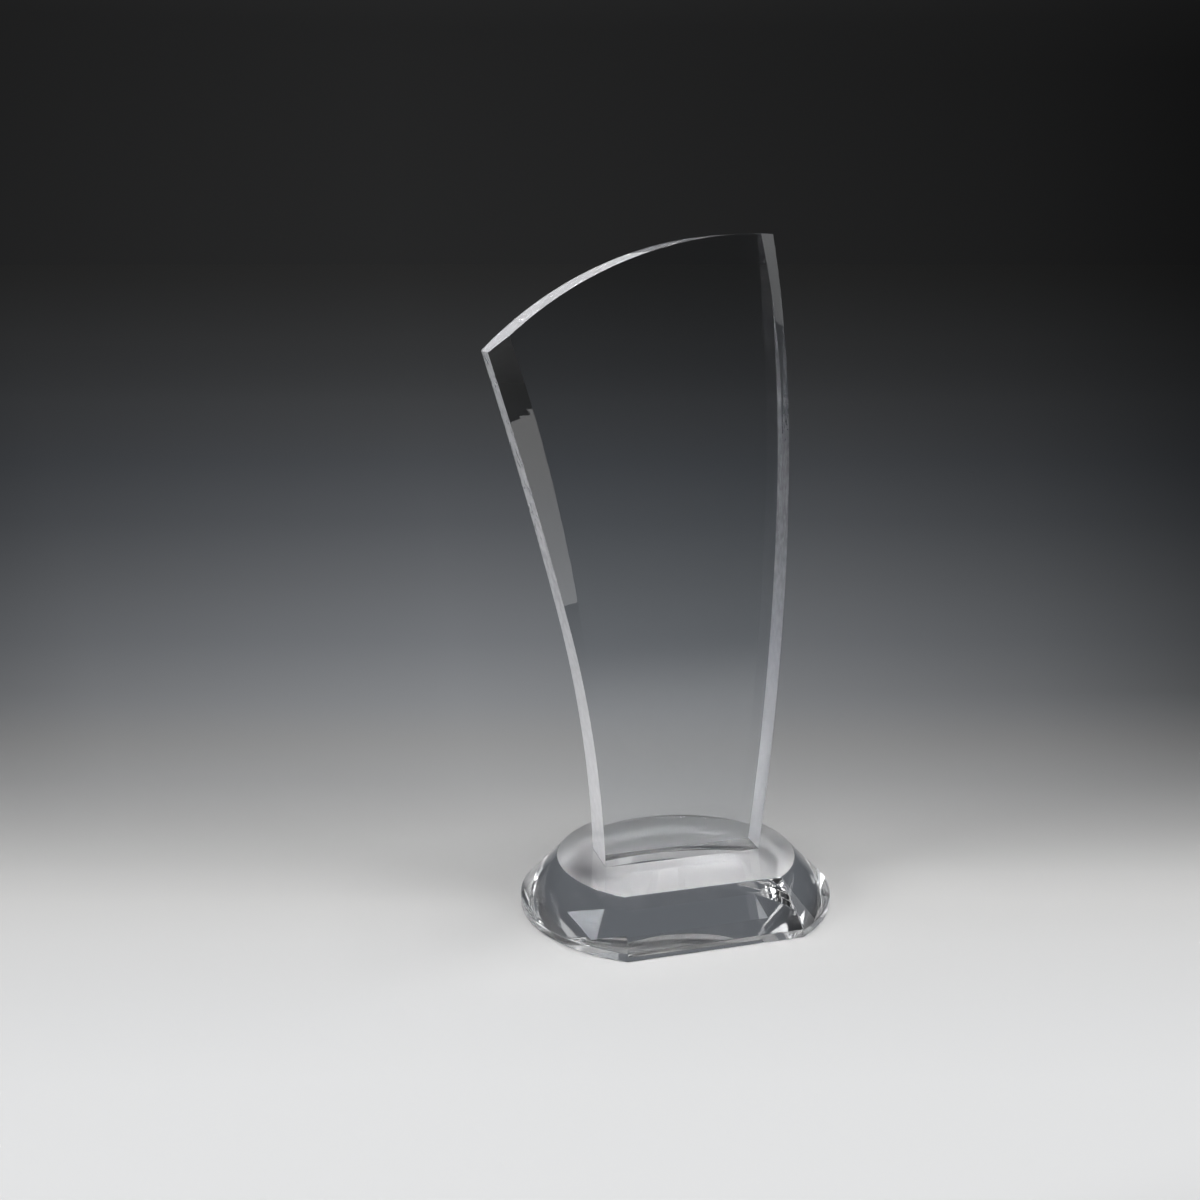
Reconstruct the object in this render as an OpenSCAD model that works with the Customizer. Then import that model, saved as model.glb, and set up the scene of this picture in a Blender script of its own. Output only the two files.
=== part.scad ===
// Free-standing crystal award.
// A tall, leaning plate of clear optical crystal stands on a thick oval block.
// The plate's front has a ground bevel down each side that feathers away below.
// Origin: centre of the oval, on the underside. +Z is up and the front faces -Y.

/* [Block] */

// Overall width of the oval block at its foot
base_w = 123; // [116:1:130]

// Depth of the full oval as a share of its width
base_round = 0.93; // [0.90:0.01:0.96]

// Thickness of the block
base_h = 18; // [16:1:20]

// Upright band round the foot, below the slope
base_lip = 3.2; // [2:0.1:5]

// How far the slope runs in from the foot to the top face
base_slope = 14.5; // [12:0.5:16]

// Distance from the centre of the oval to the flat front of the foot
base_front = 47.5; // [46:0.5:49]

/* [Plate] */

// Thickness of the plate
plate_t = 18; // [16:1:19]

// Distance from the centre of the oval back to the middle of the plate
plate_set_back = 2.65; // [1:0.05:4]

// Height of the plate's highest point above the table
plate_h = 253.9; // [250:0.1:256]

// Radius of the long curve along the top
crown_r = 139.2; // [136:0.1:142]

// Position across the plate of the crown's highest point
crown_x = 26.4; // [24:0.1:29]

// Where the left edge stands on the block
left_foot_x = -30.3; // [-32:0.1:-29]

// Radius of the hollow left edge near the foot
left_low_r = 480; // [460:5:500]

// Radius of the hollow left edge higher up
left_high_r = 1800; // [1600:50:2000]

// Height at which the left edge straightens out
left_change_z = 115; // [105:1:125]

// Furthest reach of the full right edge
right_reach = 40.6; // [39:0.1:42]

// Height of the right edge's furthest reach
right_reach_z = 155; // [150:1:160]

// Radius of the right edge below its furthest reach
right_low_r = 1150; // [1050:10:1250]

// Radius of the right edge above its furthest reach
right_high_r = 650; // [600:10:700]

/* [Ground bevels] */

// Angle of the left bevel from the front face at its top
left_grind = 42; // [36:1:46]

// Height at which the left bevel has feathered away
left_fade_z = 85; // [80:1:95]

// Angle of the right bevel from the front face at its top
right_grind = 37; // [32:1:42]

// Height at which the right bevel has feathered away
right_fade_z = 134; // [128:1:145]

/* [Joint] */

// Thickness of the clear adhesive between plate and block
film_t = 0.2; // [0.1:0.05:0.3]

/* [Hidden] */

$fn = 180;
crystal = "#DDE6EA";
adhesive = "#E6E9F0";

// The block
base_half_w = base_w / 2;
base_back = base_half_w * base_round;
base_top_front = base_front - base_slope;
base_rise = base_h - base_lip;
base_steep = base_slope / base_rise;
past = 20;
spare = 1;

// The plate
plate_front_y = plate_set_back - plate_t / 2;
plate_foot_z = base_h + film_t;
plate_span = 120;
crown_z = plate_h - crown_r;
left_turn = asin(left_change_z / left_low_r);
left_low_x = left_foot_x - left_low_r;
left_change_x = left_low_x + left_low_r * cos(left_turn);
left_high_x = left_change_x - left_high_r * cos(left_turn);
left_high_z = left_change_z - left_high_r * sin(left_turn);

// The inner edge of each ground bevel is one long arc on the front face
left_grind_r = 637;
left_grind_x = -669.6;
left_grind_z = 18.7;
right_grind_r = 345;
right_grind_x = -307.7;
right_grind_z = 168;

// A bevel's angle grows from its fading point to the top
grind_top_z = 254;
grind_steps = 30;
grind_under = 6;
grind_under_angle = 3;
grind_over = 2;
grind_reach = 18;
grind_clear = 14;
left_ease = 0.6;
right_ease = 1;

function grind_share(step) = step / grind_steps;

function grind_z(step, fade_z) =
  step == 0 ? fade_z - grind_under
            : fade_z + grind_share(step) * (grind_top_z + grind_over - fade_z);

function grind_angle(step, top_angle, ease) =
  step == 0 ? 0 : top_angle * pow(grind_share(step), ease);

function arc_x(z, centre_x, centre_z, radius) =
  centre_x + sqrt(radius * radius - (z - centre_z) * (z - centre_z));

function turned_over(face) = [for (i = [len(face) - 1 : -1 : 0]) face[i]];

// One cross-section of the grinding path: inner rim, deep rim, and two points out in front
function grind_ring(inner_x, z, angle, under, side) = [
  [inner_x - side * grind_over, plate_front_y - grind_over * tan(angle + under), z],
  [inner_x + side * grind_reach, plate_front_y + grind_reach * tan(angle - under), z],
  [inner_x + side * grind_reach, plate_front_y - grind_clear, z],
  [inner_x - side * grind_over, plate_front_y - grind_clear, z],
];

// Stands a little proud above and below, where the slab's flat faces trim it
module oval_block() {
  scale([1, base_round, 1])
    union() {
      translate([0, 0, -spare])
        cylinder(h = base_lip + spare, r = base_half_w);
      translate([0, 0, base_lip])
        cylinder(
          h = base_rise + spare,
          r1 = base_half_w,
          r2 = base_half_w - base_slope - spare * base_steep
        );
    }
}

// The slab's level faces, with the flat front and its slope
module slab() {
  rotate([90, 0, 90])
    linear_extrude(height = base_w + past, center = true)
      polygon([
        [-base_front, 0],
        [-base_front, base_lip],
        [-base_top_front, base_h],
        [base_back + past, base_h],
        [base_back + past, 0],
      ]);
}

module base() {
  color(crystal)
    intersection() {
      oval_block();
      slab();
    }
}

module band(low, high) {
  translate([-plate_span, low])
    square([2 * plate_span, high - low]);
}

module left_waste() {
  intersection() {
    translate([left_low_x, 0])
      circle(r = left_low_r);
    band(-past, left_change_z);
  }
  intersection() {
    translate([left_high_x, left_high_z])
      circle(r = left_high_r);
    band(left_change_z, plate_h + past);
  }
}

module right_limit() {
  intersection() {
    translate([right_reach - right_low_r, right_reach_z])
      circle(r = right_low_r);
    band(-past, right_reach_z);
  }
  intersection() {
    translate([right_reach - right_high_r, right_reach_z])
      circle(r = right_high_r);
    band(right_reach_z, plate_h + past);
  }
}

module plate_outline() {
  difference() {
    intersection() {
      band(plate_foot_z, plate_h + past);
      translate([crown_x, crown_z])
        circle(r = crown_r);
      right_limit();
    }
    left_waste();
  }
}

module grinding_path(side, centre_x, centre_z, radius, fade_z, top_angle, ease) {
  rings = [
    for (step = [0 : grind_steps])
      let (
        z = grind_z(step, fade_z),
        under = step == 0 ? grind_under_angle : 0
      )
      grind_ring(
        arc_x(z, centre_x, centre_z, radius), z,
        grind_angle(step, top_angle, ease), under, side
      )
  ];
  points = [for (ring = rings) for (point = ring) point];
  walls = [
    for (step = [0 : grind_steps - 1])
      for (corner = [0 : 3])
        let (
          here = 4 * step + corner,
          next = 4 * step + (corner + 1) % 4
        )
        for (face = [[here, next, next + 4], [here, next + 4, here + 4]]) face
  ];
  last = 4 * grind_steps;
  ends = [[3, 2, 1, 0], [last, last + 1, last + 2, last + 3]];
  outward = concat(walls, ends);
  polyhedron(
    points = points,
    faces = side > 0 ? outward : [for (face = outward) turned_over(face)]
  );
}

module plate() {
  color(crystal)
    difference() {
      translate([0, plate_front_y + plate_t, 0])
        rotate([90, 0, 0])
          linear_extrude(height = plate_t)
            plate_outline();
      grinding_path(
        -1, left_grind_x, left_grind_z, left_grind_r, left_fade_z, left_grind, left_ease
      );
      grinding_path(
        1, right_grind_x, right_grind_z, right_grind_r, right_fade_z, right_grind, right_ease
      );
    }
}

module adhesive_film() {
  color(adhesive)
    translate([0, plate_front_y + plate_t, base_h])
      rotate([90, 0, 0])
        linear_extrude(height = plate_t)
          difference() {
            intersection() {
              band(0, film_t);
              translate([0, -base_h])
                right_limit();
            }
            translate([0, -base_h])
              left_waste();
          }
}

base();
adhesive_film();
plate();
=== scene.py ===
import math

import bpy
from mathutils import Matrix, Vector


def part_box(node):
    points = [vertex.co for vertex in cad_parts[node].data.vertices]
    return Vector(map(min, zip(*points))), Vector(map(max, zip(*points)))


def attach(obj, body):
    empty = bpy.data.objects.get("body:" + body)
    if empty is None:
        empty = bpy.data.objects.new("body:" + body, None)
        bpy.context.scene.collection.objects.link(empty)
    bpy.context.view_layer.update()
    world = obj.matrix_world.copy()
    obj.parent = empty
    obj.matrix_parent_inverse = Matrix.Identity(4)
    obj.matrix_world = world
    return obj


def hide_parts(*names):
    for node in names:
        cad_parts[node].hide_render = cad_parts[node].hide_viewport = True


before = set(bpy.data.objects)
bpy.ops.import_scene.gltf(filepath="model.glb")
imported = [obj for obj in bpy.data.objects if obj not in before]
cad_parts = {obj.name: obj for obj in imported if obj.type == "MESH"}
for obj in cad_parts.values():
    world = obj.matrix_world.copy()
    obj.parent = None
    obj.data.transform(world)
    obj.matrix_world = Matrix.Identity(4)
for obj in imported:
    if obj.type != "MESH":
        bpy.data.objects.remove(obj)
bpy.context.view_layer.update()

MM = 0.001

# ---------------------------------------------------------------- sizes, mm

FOOT_BAND = 3.2          # upright band round the foot of the block
SLOPE_RUN = 14.5         # how far the block's slope runs in

LEFT_FOOT_X = -30.3
LEFT_LOW_R = 480.0
LEFT_HIGH_R = 1800.0
LEFT_CHANGE_Z = 115.0
CROWN_R = 139.2
CROWN_X = 26.4
RIGHT_REACH_X = 40.6
RIGHT_REACH_Z = 155.0
RIGHT_LOW_R = 1150.0
RIGHT_HIGH_R = 650.0

# The stone's two paths: the arc that the inner line of each front bevel follows, the
# height at which it fades out, and how far it has rolled at the top, in degrees
LEFT_GRIND_CENTRE = (-669.6, 18.7)
LEFT_GRIND_R = 637.0
LEFT_FADE_Z = 85.0
LEFT_GRIND_ANGLE = 42.0
LEFT_GRIND_EASE = 0.6    # rolls quickly at first
RIGHT_GRIND_CENTRE = (-307.7, 168.0)
RIGHT_GRIND_R = 345.0
RIGHT_FADE_Z = 134.0
RIGHT_GRIND_ANGLE = 37.0
RIGHT_GRIND_EASE = 1.0   # rolls evenly
GRIND_TOP_Z = 256.0      # the stone runs off the top

ARRIS = 0.28             # broken and polished edges
WETTED = 0.005           # the film stops this far short of the faces it wets
HAIR = 0.01              # how closely two places count as the same

SHARP_FROM = math.radians(22)
SMOOTH_UP_TO = math.radians(20)

# How many steps each curve is made in
RIM_STEPS = 288          # round the oval block
CROWN_STEPS = 96
SIDE_STEPS = 44
LOW_RIGHT_STEPS = 56
LEFT_GRIND_STEPS = 72
RIGHT_GRIND_STEPS = 60


# ---------------------------------------------------------------- helpers

def to_linear(code):
    """An sRGB hex colour as linear RGBA."""
    parts = [int(code[i:i + 2], 16) / 255 for i in (1, 3, 5)]
    rgb = [c / 12.92 if c <= 0.04045 else ((c + 0.055) / 1.055) ** 2.4 for c in parts]
    return (*rgb, 1.0)


def add_node(tree, kind, settings=None, links=None):
    """Adds a node, sets its properties and inputs, and links other nodes' outputs into it."""
    node = tree.nodes.new(kind)
    for name, value in (settings or {}).items():
        if name in node.inputs:
            node.inputs[name].default_value = value
        else:
            setattr(node, name, value)
    for name, source in (links or {}).items():
        tree.links.new(source, node.inputs[name])
    return node


def edit(piece):
    """Selects one piece alone and opens its mesh."""
    if bpy.context.mode != "OBJECT":
        bpy.ops.object.mode_set(mode="OBJECT")
    bpy.ops.object.select_all(action="DESELECT")
    piece.select_set(True)
    bpy.context.view_layer.objects.active = piece
    bpy.ops.object.mode_set(mode="EDIT")


def done():
    """Closes the mesh and leaves nothing selected."""
    bpy.ops.object.mode_set(mode="OBJECT")
    bpy.ops.object.select_all(action="DESELECT")


def pick_faces(piece, wanted):
    """In edit mode, selects only the faces whose centre and normal are wanted."""
    bpy.ops.mesh.select_mode(type="FACE")
    bpy.ops.mesh.select_all(action="DESELECT")
    bpy.ops.object.mode_set(mode="OBJECT")
    for face in piece.data.polygons:
        face.select = wanted(face.center, face.normal)
    bpy.ops.object.mode_set(mode="EDIT")


def pick_points(piece, wanted):
    """In edit mode, selects only the points whose place is wanted."""
    bpy.ops.mesh.select_mode(type="VERT")
    bpy.ops.mesh.select_all(action="DESELECT")
    bpy.ops.object.mode_set(mode="OBJECT")
    for point in piece.data.vertices:
        point.select = wanted(point.co)
    bpy.ops.object.mode_set(mode="EDIT")


def cut_flat(place, normal):
    """Trims everything selected beyond a flat plane and closes the cut."""
    bpy.ops.mesh.bisect(
        plane_co=place, plane_no=normal, clear_outer=True, use_fill=True
    )


def settle(piece):
    """Puts the object at the origin, unturned and unscaled, with its place in its mesh."""
    bpy.ops.object.select_all(action="DESELECT")
    piece.select_set(True)
    bpy.context.view_layer.objects.active = piece
    bpy.ops.object.transform_apply(location=True, rotation=True, scale=True)


def break_edges(piece, keep_crisp):
    """Breaks the sharp edges with a tiny polished chamfer, apart from those in the bond."""
    edit(piece)
    bpy.ops.mesh.select_mode(type="EDGE")
    bpy.ops.mesh.select_all(action="DESELECT")
    bpy.ops.mesh.edges_select_sharp(sharpness=SHARP_FROM)
    bpy.ops.object.mode_set(mode="OBJECT")
    mesh = piece.data
    for edge in mesh.edges:
        if edge.select and all(keep_crisp(mesh.vertices[v].co) for v in edge.vertices):
            edge.select = False
    bpy.ops.object.mode_set(mode="EDIT")
    bpy.ops.mesh.bevel(
        offset=ARRIS * MM, segments=2, profile=0.5, affect="EDGES", clamp_overlap=True
    )
    done()


def crisp_flats(piece, flat):
    """Smooth walls, with a hard line round every face that is truly flat."""
    done()
    piece.select_set(True)
    bpy.context.view_layer.objects.active = piece
    bpy.ops.object.shade_smooth_by_angle(angle=SMOOTH_UP_TO)
    edit(piece)
    pick_faces(piece, flat)
    bpy.ops.mesh.region_to_loop()
    bpy.ops.mesh.mark_sharp()
    done()
    # The broad polished faces keep their own normals; only the tiny edge breaks roll over
    weigh = piece.modifiers.new("weigh", "WEIGHTED_NORMAL")
    weigh.mode = "FACE_AREA"
    weigh.weight = 100
    weigh.keep_sharp = True
    piece.select_set(True)
    bpy.context.view_layer.objects.active = piece
    bpy.ops.object.modifier_apply(modifier=weigh.name)


# ---------------------------------------------------------------- the block

def make_block():
    low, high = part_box("base")
    half_w = high.x
    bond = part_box("adhesive_film")
    bpy.ops.object.select_all(action="DESELECT")
    bpy.ops.mesh.primitive_cylinder_add(
        vertices=RIM_STEPS, radius=half_w, depth=FOOT_BAND * MM,
        location=(0, 0, FOOT_BAND * MM / 2),
    )
    block = bpy.context.object
    block.name = "block"
    settle(block)
    edit(block)
    pick_faces(block, lambda centre, normal: normal.z > 0.9)
    rise = high.z - FOOT_BAND * MM
    bpy.ops.mesh.extrude_region_move(TRANSFORM_OT_translate={"value": (0, 0, rise)})
    narrow = (half_w - SLOPE_RUN * MM) / half_w
    bpy.ops.transform.resize(value=(narrow, narrow, 1), center_override=(0, 0, high.z))
    bpy.ops.mesh.select_all(action="SELECT")
    bpy.ops.transform.resize(value=(1, high.y / half_w, 1), center_override=(0, 0, 0))
    cut_flat((0, low.y, 0), (0, -1, 0))
    bpy.ops.mesh.select_all(action="SELECT")
    slope = Vector((0, -rise, SLOPE_RUN * MM)).normalized()
    cut_flat((0, low.y, FOOT_BAND * MM), slope)
    # The bond's outline is scribed into the top face
    for place, normal in (
        ((bond[0].x, 0, 0), (1, 0, 0)),
        ((bond[1].x, 0, 0), (1, 0, 0)),
        ((0, bond[0].y, 0), (0, 1, 0)),
        ((0, bond[1].y, 0), (0, 1, 0)),
    ):
        pick_faces(block, lambda centre, n: n.z > 0.99 and centre.z > high.z - HAIR * MM)
        bpy.ops.mesh.bisect(plane_co=place, plane_no=normal)
    break_edges(block, lambda co: False)
    edit(block)
    pick_points(block, lambda co: co.y < low.y)
    bpy.ops.transform.resize(value=(1, 0, 1), center_override=(0, low.y, 0))
    crisp_flats(block, lambda centre, n: abs(n.z) > 0.9999 or (n.y < -0.5 and abs(n.x) < 1e-4))
    return block


# ---------------------------------------------------------------- the plate

def sweep(arc_centre, start, end, steps):
    """Spins the selected edge about a centre, from the start point to the end point."""
    centre_x, centre_z = arc_centre
    first = math.atan2(start[1] - centre_z, start[0] - centre_x)
    last = math.atan2(end[1] - centre_z, end[0] - centre_x)
    bpy.ops.mesh.spin(
        steps=steps,
        angle=last - first,
        center=(centre_x * MM, 0, centre_z * MM),
        axis=(0, 1, 0),
    )


def on_arc(centre, radius, z):
    """The point of an arc at height z, on its +X side."""
    return (centre[0] + math.sqrt(radius ** 2 - (z - centre[1]) ** 2), z)


def meeting(centre_a, radius_a, centre_b, radius_b, near):
    """Where two circles meet, taking the point nearer to a guess."""
    ax, az = centre_a
    bx, bz = centre_b
    gap = math.hypot(bx - ax, bz - az)
    along = (radius_a ** 2 - radius_b ** 2 + gap ** 2) / (2 * gap)
    across = math.sqrt(radius_a ** 2 - along ** 2)
    ux, uz = (bx - ax) / gap, (bz - az) / gap
    options = [
        (ax + along * ux - side * across * uz, az + along * uz + side * across * ux)
        for side in (-1, 1)
    ]
    return min(options, key=lambda p: math.hypot(p[0] - near[0], p[1] - near[1]))


def make_grinding_path(name, side, centre, radius, fade_z, top_angle, ease, steps):
    """The stone's path along one front edge: a bar that climbs the arc and rolls as it climbs."""
    front_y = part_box("plate")[0].y
    # The bar lies on the front face: out past the edge, and a little in over its pivot line
    reach, over, depth = 18 * MM, 2 * MM, 14 * MM
    rim = on_arc(centre, radius, fade_z)
    bpy.ops.object.select_all(action="DESELECT")
    bpy.ops.mesh.primitive_plane_add(size=1, location=(0, 0, 0))
    path = bpy.context.object
    path.name = name
    path.scale = (reach + over, depth, 1)
    path.location = (
        rim[0] * MM + side * (reach - over) / 2, front_y - depth / 2, fade_z * MM
    )
    settle(path)
    edit(path)
    bpy.ops.mesh.select_all(action="SELECT")
    turned = 0.0
    for step in range(1, steps + 1):
        share = step / steps
        z = fade_z + share * (GRIND_TOP_Z - fade_z)
        here = on_arc(centre, radius, z)
        bpy.ops.mesh.extrude_region_move(
            TRANSFORM_OT_translate={
                "value": ((here[0] - rim[0]) * MM, 0, (here[1] - rim[1]) * MM)
            }
        )
        rim = here
        angle = top_angle * share ** ease
        # transform.rotate turns the other way here, so the sign is set for that
        bpy.ops.transform.rotate(
            value=-side * math.radians(angle - turned),
            orient_axis="Z",
            center_override=(rim[0] * MM, front_y, rim[1] * MM),
        )
        turned = angle
    bpy.ops.mesh.select_all(action="SELECT")
    bpy.ops.mesh.normals_make_consistent(inside=False)
    done()
    return path


def grind(piece, path):
    """Takes away all that the stone passes through."""
    cut = piece.modifiers.new("grind", "BOOLEAN")
    cut.operation = "DIFFERENCE"
    cut.solver = "EXACT"
    cut.object = path
    bpy.ops.object.select_all(action="DESELECT")
    piece.select_set(True)
    bpy.context.view_layer.objects.active = piece
    bpy.ops.object.modifier_apply(modifier=cut.name)
    bpy.data.objects.remove(path)


def make_plate():
    low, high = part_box("plate")
    foot_z, top_z = low.z / MM, high.z / MM
    thickness = high.y - low.y
    turn = math.asin(LEFT_CHANGE_Z / LEFT_LOW_R)
    left_low = (LEFT_FOOT_X - LEFT_LOW_R, 0.0)
    change = on_arc(left_low, LEFT_LOW_R, LEFT_CHANGE_Z)
    left_high = (
        change[0] - LEFT_HIGH_R * math.cos(turn), change[1] - LEFT_HIGH_R * math.sin(turn)
    )
    crown = (CROWN_X, top_z - CROWN_R)
    right_high = (RIGHT_REACH_X - RIGHT_HIGH_R, RIGHT_REACH_Z)
    right_low = (RIGHT_REACH_X - RIGHT_LOW_R, RIGHT_REACH_Z)
    foot_left = on_arc(left_low, LEFT_LOW_R, foot_z)
    # Each pair of arcs crosses twice, so the crossing at the award's own corner is picked
    tip = meeting(crown, CROWN_R, left_high, LEFT_HIGH_R, (low.x / MM, RIGHT_REACH_Z))
    shoulder = meeting(crown, CROWN_R, right_high, RIGHT_HIGH_R, (RIGHT_REACH_X, top_z))
    widest = (RIGHT_REACH_X, RIGHT_REACH_Z)
    foot_right = on_arc(right_low, RIGHT_LOW_R, foot_z)

    # One upright edge of the plate, swept round its outline arc by arc
    bpy.ops.object.select_all(action="DESELECT")
    bpy.ops.mesh.primitive_plane_add(size=thickness, location=(0, 0, 0))
    plate = bpy.context.object
    plate.name = "crystal_plate"
    edit(plate)
    pick_points(plate, lambda co: co.x > 0)
    bpy.ops.mesh.delete(type="VERT")
    bpy.ops.mesh.select_all(action="SELECT")
    bpy.ops.transform.translate(
        value=(
            foot_left[0] * MM + thickness / 2, (low.y + high.y) / 2, foot_z * MM
        )
    )
    sweep(left_low, foot_left, change, SIDE_STEPS)
    sweep(left_high, change, tip, SIDE_STEPS)
    sweep(crown, tip, shoulder, CROWN_STEPS)
    sweep(right_high, shoulder, widest, SIDE_STEPS)
    sweep(right_low, widest, foot_right, LOW_RIGHT_STEPS)
    for y in (low.y, high.y):
        pick_points(plate, lambda co: abs(co.y - y) < HAIR * MM)
        bpy.ops.mesh.edge_face_add()
    pick_points(plate, lambda co: co.z < foot_z * MM + HAIR * MM)
    bpy.ops.mesh.edge_face_add()
    bpy.ops.mesh.select_all(action="SELECT")
    bpy.ops.mesh.normals_make_consistent(inside=False)
    done()

    left_path = make_grinding_path(
        "left_path", -1, LEFT_GRIND_CENTRE, LEFT_GRIND_R, LEFT_FADE_Z,
        LEFT_GRIND_ANGLE, LEFT_GRIND_EASE, LEFT_GRIND_STEPS,
    )
    grind(plate, left_path)
    right_path = make_grinding_path(
        "right_path", 1, RIGHT_GRIND_CENTRE, RIGHT_GRIND_R, RIGHT_FADE_Z,
        RIGHT_GRIND_ANGLE, RIGHT_GRIND_EASE, RIGHT_GRIND_STEPS,
    )
    grind(plate, right_path)
    bond_z = low.z + HAIR * MM
    break_edges(plate, lambda co: co.z < bond_z)
    crisp_flats(plate, lambda centre, n: abs(n.y) > 0.99999)
    return plate


# ---------------------------------------------------------------- the bond

def make_bond():
    low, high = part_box("adhesive_film")
    bpy.ops.object.select_all(action="DESELECT")
    bpy.ops.mesh.primitive_cube_add(size=1, location=(low + high) / 2)
    bond = bpy.context.object
    bond.name = "bond_line"
    bond.scale = high - low - Vector((0, 0, 2 * WETTED * MM))
    settle(bond)
    return bond


block = make_block()
plate = make_plate()
bond = make_bond()


# ---------------------------------------------------------------- materials

CRYSTAL_IOR = 1.517
WIPED_MM = 9             # cloths leave faint smears about this wide
SHEEN_PATCH_MM = 4             # patches of the painted sheen on an edge, drawn coarse enough to show
PALE_BELOW_Z = 80        # the painted sheen on the edges is strongest up to here
CLEAR_ABOVE_Z = 150      # and weakest from here up
FOOT_CLEAR_SHARE = 0.35  # how much of its clearness an edge keeps by the foot


def paint_edge_sheen(tree, where, share):
    """The share of light that passes an edge; the rest is scattered as a painted pale sheen, in
    soft patches, standing in for mirrored studio light.
    """
    sheen_patches = add_node(
        tree, "ShaderNodeTexNoise",
        {"Scale": 1 / (SHEEN_PATCH_MM * MM), "Detail": 3.0, "Roughness": 0.5, "Distortion": 0.4},
        {"Vector": where.outputs["Object"]},
    )
    clear = add_node(
        tree, "ShaderNodeMapRange",
        {"From Min": 0.36, "From Max": 0.64, "To Min": 1 - 1.2 * share, "To Max": 1 - 0.8 * share},
        {"Value": sheen_patches.outputs["Fac"]},
    )
    # Painted highlight: the edges are made paler towards the foot, so less light passes them there
    split = add_node(tree, "ShaderNodeSeparateXYZ", links={"Vector": where.outputs["Object"]})
    reached = add_node(
        tree, "ShaderNodeMapRange",
        {"From Min": PALE_BELOW_Z * MM, "From Max": CLEAR_ABOVE_Z * MM,
         "To Min": FOOT_CLEAR_SHARE, "To Max": 1.0},
        {"Value": split.outputs["Z"]},
    )
    passed = add_node(
        tree, "ShaderNodeMath", {"operation": "MULTIPLY"},
        {0: clear.outputs["Result"], 1: reached.outputs["Result"]},
    )
    return passed.outputs["Value"]


def make_crystal(name, tint, ripple_mm, ripple_height_mm, smear, painted_sheen_share=0.0):
    """Lead-free optical crystal, cut, lapped and polished: clear with hard, exact reflections;
    where asked, a share is scattered as a painted pale sheen.
    """
    finish = bpy.data.materials.new(name)
    finish.use_nodes = True
    tree = finish.node_tree
    shader = tree.nodes["Principled BSDF"]
    shader.inputs["Base Color"].default_value = to_linear(tint)
    shader.inputs["Transmission Weight"].default_value = 1.0
    shader.inputs["IOR"].default_value = CRYSTAL_IOR
    where = add_node(tree, "ShaderNodeTexCoord")
    ripple = add_node(
        tree, "ShaderNodeTexNoise",
        {"Scale": 1 / (ripple_mm * MM), "Detail": 1.5, "Roughness": 0.4},
        {"Vector": where.outputs["Object"]},
    )
    bump = add_node(
        tree, "ShaderNodeBump",
        {"Strength": 1.0, "Distance": ripple_height_mm * MM},
        {"Height": ripple.outputs["Fac"]},
    )
    tree.links.new(bump.outputs["Normal"], shader.inputs["Normal"])
    wiped = add_node(
        tree, "ShaderNodeTexNoise",
        {"Scale": 1 / (WIPED_MM * MM), "Detail": 6.0, "Roughness": 0.62, "Distortion": 0.6},
        {"Vector": where.outputs["Object"]},
    )
    dulled = add_node(
        tree, "ShaderNodeMapRange",
        {"From Min": 0.48, "From Max": 0.8, "To Min": 0.0, "To Max": smear},
        {"Value": wiped.outputs["Fac"]},
    )
    tree.links.new(dulled.outputs["Result"], shader.inputs["Roughness"])
    if painted_sheen_share:
        # Painted sheen: part of the light is scattered off the edge instead of passing, standing
        # in for mirrored studio light
        tree.links.new(paint_edge_sheen(tree, where, painted_sheen_share), shader.inputs["Transmission Weight"])
    return finish


def make_contact(name):
    """A face wetted by clear adhesive of the same index: it neither bends light nor mirrors it."""
    finish = bpy.data.materials.new(name)
    finish.use_nodes = True
    shader = finish.node_tree.nodes["Principled BSDF"]
    shader.inputs["Base Color"].default_value = to_linear("#FFFFFF")
    shader.inputs["Transmission Weight"].default_value = 1.0
    shader.inputs["Roughness"].default_value = 0.0
    shader.inputs["IOR"].default_value = 1.0
    return finish


# Broad lapped faces of the plate: flat as a mirror, and a little darker than the air beside
lapped = make_crystal("lapped_optical_crystal", "#EBEDEF", 45, 0.006, 0.012)
# The left edge: the belt leaves short ripples; its pale, streaky sheen is painted, scattered light
# standing in for mirrored studio light
belt_edge_painted_sheen = make_crystal("belt_polished_crystal_edge_painted_sheen", "#FAFAFD", 6, 0.004, 0.03, painted_sheen_share=0.5)
# The crown and the right edge: finished on felt, smoother, with a little less painted sheen
felt_edge_painted_sheen = make_crystal("felt_polished_crystal_edge_painted_sheen", "#F6F7FA", 16, 0.002, 0.03, painted_sheen_share=0.3)
# The block's top and underside: lapped dead flat and quite colourless
topped = make_crystal("lapped_block_crystal", "#FCFCFD", 45, 0.004, 0.012)
# The block's slope and foot band: wheel polished, so mirrored lines waver very slightly
wheeled = make_crystal("wheel_polished_crystal_slope", "#FBFCFD", 14, 0.006, 0.012)
# The two joint faces: no mirror and no bend, as in a bond with no air in it
wetted = make_contact("bonded_crystal_face")

SQUARE_ON = 0.999        # a face turned straight up, down, or to one side
bond_low, bond_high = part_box("adhesive_film")


def block_finish(face):
    in_bond = (
        bond_low.x < face.center.x < bond_high.x and bond_low.y < face.center.y < bond_high.y
    )
    if face.normal.z > SQUARE_ON and in_bond and face.center.z > bond_low.z - HAIR * MM:
        return wetted
    return topped if abs(face.normal.z) > SQUARE_ON else wheeled


def plate_finish(face):
    if face.normal.z < -SQUARE_ON and face.center.z < bond_high.z + HAIR * MM:
        return wetted
    if abs(face.normal.y) > 0.05:
        return lapped
    return belt_edge_painted_sheen if face.normal.x < -0.9 else felt_edge_painted_sheen


def bond_finish(face):
    return wetted if abs(face.normal.z) > SQUARE_ON else wheeled


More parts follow.
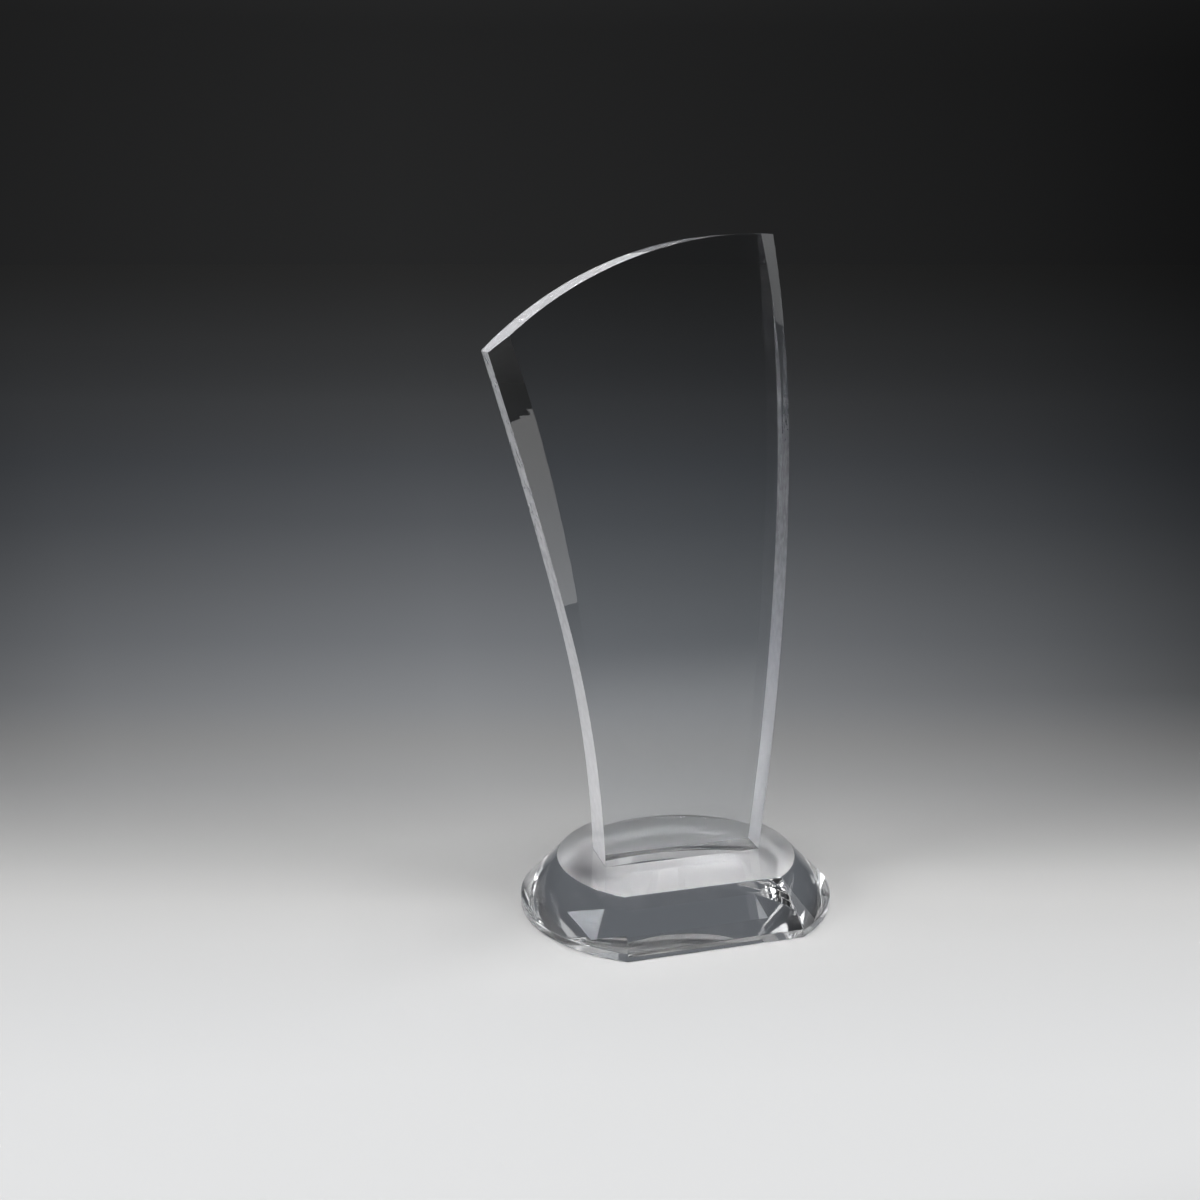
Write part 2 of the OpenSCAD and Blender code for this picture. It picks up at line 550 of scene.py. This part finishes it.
def dress(piece, finishes, finish_of):
    """Gives a piece its finishes, and each face the one that it was made with."""
    for finish in finishes:
        piece.data.materials.append(finish)
    for face in piece.data.polygons:
        face.material_index = finishes.index(finish_of(face))


dress(block, (topped, wheeled, wetted), block_finish)
dress(plate, (lapped, felt_edge_painted_sheen, wetted, belt_edge_painted_sheen), plate_finish)
dress(bond, (wheeled, wetted), bond_finish)

for piece, node, slot in (
    (block, "base", "block_crystal"),
    (plate, "plate", "plate_crystal"),
    (bond, "adhesive_film", "clear_adhesive"),
):
    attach(piece, "root")
    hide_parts(node)


# ---------------------------------------------------------------- the studio

# The sweep falls away along this line, a little to the right of straight back
AHEAD = (0.2746, 0.9616, 0)
ACROSS = (0.9616, -0.2746, 0)

# Nearness is NEAR_REACH over the distance ahead of a line that lies FALL_START in front
NEAR_REACH = 0.245
FALL_START = 0.502
LEAST_AHEAD = 0.1

# Painted light on the paper by nearness, how pale and how blue: 0 is the horizon, 0.5 is under the
# award
PAINTED_PAPER_FALL = (
    (0.0, 0.172, 0.87), (0.015, 0.19, 0.88), (0.057, 0.26, 0.93), (0.1, 0.274, 1.0),
    (0.143, 0.203, 1.11), (0.188, 0.173, 1.12), (0.233, 0.176, 1.1), (0.28, 0.187, 1.1),
    (0.328, 0.228, 1.06), (0.36, 0.265, 1.0), (0.393, 0.303, 1.0), (0.426, 0.361, 0.985),
    (0.46, 0.43, 0.98), (0.494, 0.51, 0.98), (0.53, 0.547, 0.99), (0.6, 0.583, 1.0),
    (0.655, 0.609, 1.0), (0.75, 0.62, 1.0),
)

# How much of the light is left to the left and right of the middle, far behind the award
SIDE_FALL = (
    (0.0, 0.64), (0.078, 0.79), (0.209, 0.9), (0.354, 1.0), (0.5, 0.9), (0.66, 0.75),
    (0.791, 0.59), (0.922, 0.36), (1.0, 0.3),
)

# In front, painted shade darkens the paper between these two places, so the plate's face mirrors
# little
LIT_FROM_Y = -0.19
DARK_FROM_Y = -0.36
DARK_SHARE = 0.02

# Tone of the room by the sine of the height angle
ROOM_BEHIND = (
    (0.0, 0.0195), (0.15, 0.016), (0.3, 0.03), (0.42, 0.11), (0.55, 0.13), (1.0, 0.13),
)
ROOM_IN_FRONT = ((0.0, 0.002), (0.1, 0.016), (0.25, 0.04), (0.45, 0.13), (1.0, 0.13))


def along(tree, vector, direction):
    """How far a vector reaches in a direction."""
    reach = add_node(
        tree, "ShaderNodeVectorMath", {"operation": "DOT_PRODUCT"}, {0: vector}
    )
    reach.inputs[1].default_value = direction
    return reach.outputs["Value"]


def fill_ramp(ramp, stops):
    """Sets a colour ramp's stops, of which a new ramp already has two."""
    spots = ramp.color_ramp.elements
    for index, (place, colour) in enumerate(stops):
        spot = spots[index] if index < 2 else spots.new(place)
        spot.position = place
        spot.color = (*colour, 1)
    return ramp.outputs["Color"]


def tinted(tone, blue):
    """A grey with its blue strengthened or weakened, and its green by less."""
    return (tone, tone * (0.6 + 0.4 * blue), tone * blue)


def side_fall(tree, across, ahead):
    """The light that is left to each side of the middle, as a colour."""
    bearing = add_node(
        tree, "ShaderNodeMath", {"operation": "DIVIDE"}, {0: across, 1: ahead}
    )
    centred = add_node(
        tree, "ShaderNodeMapRange",
        {"From Min": -0.5, "From Max": 0.5},
        {"Value": bearing.outputs["Value"]},
    )
    sides = add_node(tree, "ShaderNodeValToRGB", links={"Fac": centred.outputs["Result"]})
    return fill_ramp(sides, [(place, (tone, tone, tone)) for place, tone in SIDE_FALL])


def dimmed(tree, colour, sides, amount):
    """A colour with the fall of light to the sides laid over it, by an amount."""
    mixed = add_node(
        tree, "ShaderNodeMix",
        {"data_type": "RGBA", "blend_type": "MULTIPLY"},
        {"Factor": amount, 6: colour, 7: sides},
    )
    return mixed.outputs[2]


def make_table():
    """Pale sweep paper with the fall of light painted into its colour: dark far behind the award
    and well in front.
    """
    bpy.ops.object.select_all(action="DESELECT")
    bpy.ops.mesh.primitive_circle_add(
        vertices=128, radius=60, fill_type="NGON", location=(0, 0, -0.0001)
    )
    table = bpy.context.object
    table.name = "table"
    settle(table)
    finish = bpy.data.materials.new("pale_sweep_paper_painted_falloff")
    finish.use_nodes = True
    tree = finish.node_tree
    shader = tree.nodes["Principled BSDF"]
    shader.inputs["Roughness"].default_value = 0.9
    shader.inputs["Specular IOR Level"].default_value = 0.0
    where = add_node(tree, "ShaderNodeTexCoord")
    reach = add_node(
        tree, "ShaderNodeMath",
        {"operation": "ADD"},
        {0: along(tree, where.outputs["Object"], AHEAD)},
    )
    reach.inputs[1].default_value = FALL_START
    ahead = add_node(
        tree, "ShaderNodeMath", {"operation": "MAXIMUM"}, {0: reach.outputs["Value"]}
    )
    ahead.inputs[1].default_value = LEAST_AHEAD
    nearness = add_node(
        tree, "ShaderNodeMath", {"operation": "DIVIDE"}, {1: ahead.outputs["Value"]}
    )
    nearness.inputs[0].default_value = NEAR_REACH
    # Painted light: the paper's colour fades by nearness, standing in for a falling light
    fall = add_node(tree, "ShaderNodeValToRGB", links={"Fac": nearness.outputs["Value"]})
    paper = fill_ramp(fall, [(place, tinted(tone, blue)) for place, tone, blue in PAINTED_PAPER_FALL])
    sides = side_fall(
        tree, along(tree, where.outputs["Object"], ACROSS), ahead.outputs["Value"]
    )
    far = add_node(
        tree, "ShaderNodeMapRange",
        {"From Min": 0.47, "From Max": 0.32},
        {"Value": nearness.outputs["Value"]},
    )
    paper = dimmed(tree, paper, sides, far.outputs["Result"])
    split = add_node(
        tree, "ShaderNodeSeparateXYZ", links={"Vector": where.outputs["Object"]}
    )
    # Painted shade: the paper's colour is darkened in front of the award
    front = add_node(
        tree, "ShaderNodeMapRange",
        {"interpolation_type": "SMOOTHSTEP", "From Min": DARK_FROM_Y, "From Max": LIT_FROM_Y,
         "To Min": DARK_SHARE, "To Max": 1.0},
        {"Value": split.outputs["Y"]},
    )
    shaded = add_node(
        tree, "ShaderNodeVectorMath",
        {"operation": "SCALE"},
        {0: paper, "Scale": front.outputs["Result"]},
    )
    tree.links.new(shaded.outputs["Vector"], shader.inputs["Base Color"])
    table.data.materials.append(finish)
    return table


def make_room():
    """A tented studio: dark low down all round, under a dim grey ceiling."""
    world = bpy.data.worlds.new("tented_studio")
    bpy.context.scene.world = world
    world.use_nodes = True
    tree = world.node_tree
    sky = tree.nodes["Background"]
    where = add_node(tree, "ShaderNodeTexCoord")
    split = add_node(
        tree, "ShaderNodeSeparateXYZ", links={"Vector": where.outputs["Generated"]}
    )
    halves = []
    for heights in (ROOM_BEHIND, ROOM_IN_FRONT):
        up = add_node(tree, "ShaderNodeValToRGB", links={"Fac": split.outputs["Z"]})
        stops = [(place, tinted(tone, 1 + 0.16 * min(1, tone / 0.1))) for place, tone in heights]
        halves.append(fill_ramp(up, stops))
    sides = side_fall(
        tree,
        along(tree, where.outputs["Generated"], ACROSS),
        along(tree, where.outputs["Generated"], AHEAD),
    )
    low_down = add_node(
        tree, "ShaderNodeMapRange",
        {"From Min": 0.32, "From Max": 0.12},
        {"Value": split.outputs["Z"]},
    )
    behind = dimmed(tree, halves[0], sides, low_down.outputs["Result"])
    side = add_node(
        tree, "ShaderNodeMapRange",
        {"interpolation_type": "SMOOTHSTEP", "From Min": -0.25, "From Max": 0.1},
        {"Value": split.outputs["Y"]},
    )
    room = add_node(
        tree, "ShaderNodeMix",
        {"data_type": "RGBA"},
        {"Factor": side.outputs["Result"]},
    )
    tree.links.new(halves[1], room.inputs[6])
    tree.links.new(behind, room.inputs[7])
    tree.links.new(room.outputs[2], sky.inputs["Color"])
    sky.inputs["Strength"].default_value = 1.0


def add_softbox(name, place, target, width, height, watts, only_mirrored=False):
    """An evenly lit panel, or a card that shows only as a mirror image in polished faces."""
    lamp = bpy.data.lights.new(name, "AREA")
    lamp.shape = "RECTANGLE"
    lamp.size = width
    lamp.size_y = height
    lamp.energy = watts
    box = bpy.data.objects.new(name, lamp)
    bpy.context.scene.collection.objects.link(box)
    box.location = place
    box.rotation_euler = (Vector(target) - Vector(place)).to_track_quat("-Z", "Y").to_euler()
    box.visible_camera = False
    box.visible_diffuse = not only_mirrored
    box.visible_transmission = not only_mirrored


def set_camera():
    lens = bpy.data.cameras.new("camera")
    lens.lens = 41.19
    lens.sensor_width = 36
    lens.clip_start = 0.01
    lens.clip_end = 100
    camera = bpy.data.objects.new("camera", lens)
    bpy.context.scene.collection.objects.link(camera)
    camera.location = (-0.16663, -0.47460, 0.24530)
    camera.rotation_euler = (math.radians(90 - 13.97), 0, math.radians(-15.94))
    bpy.context.scene.camera = camera


make_table()
make_room()
add_softbox("overhead", (0.0, -0.05, 1.05), (0, -0.05, 0), 0.38, 0.38, 8.6)
add_softbox("left_bank", (-1.0, -0.12, 0.55), (0, -0.05, 0.05), 0.36, 0.4, 5.0)
add_softbox("right_bank", (0.75, -0.5, 0.62), (0, -0.05, 0.05), 0.5, 0.5, 3.6)
add_softbox("low_right", (0.95, -0.05, 0.3), (0, 0, 0.2), 0.35, 0.35, 0.35)
# A card lying on the paper, which the left bevel mirrors
add_softbox(
    "left_card", (-0.32, -0.39, 0.01), (-0.32, -0.39, 1), 0.32, 0.18, 0.42, only_mirrored=True
)
# A long strip far behind, which the crown mirrors
add_softbox("rim_strip", (0.25, 3.0, 0.95), (0, 0, 0.24), 2.6, 0.34, 1.4, only_mirrored=True)
set_camera()

scene = bpy.context.scene
scene.view_settings.view_transform = "Standard"
# Light goes round inside clear crystal many times before it comes out
scene.cycles.max_bounces = 300
scene.cycles.transmission_bounces = 300
scene.cycles.glossy_bounces = 300
scene.cycles.blur_glossy = 0
scene.cycles.sample_clamp_indirect = 0
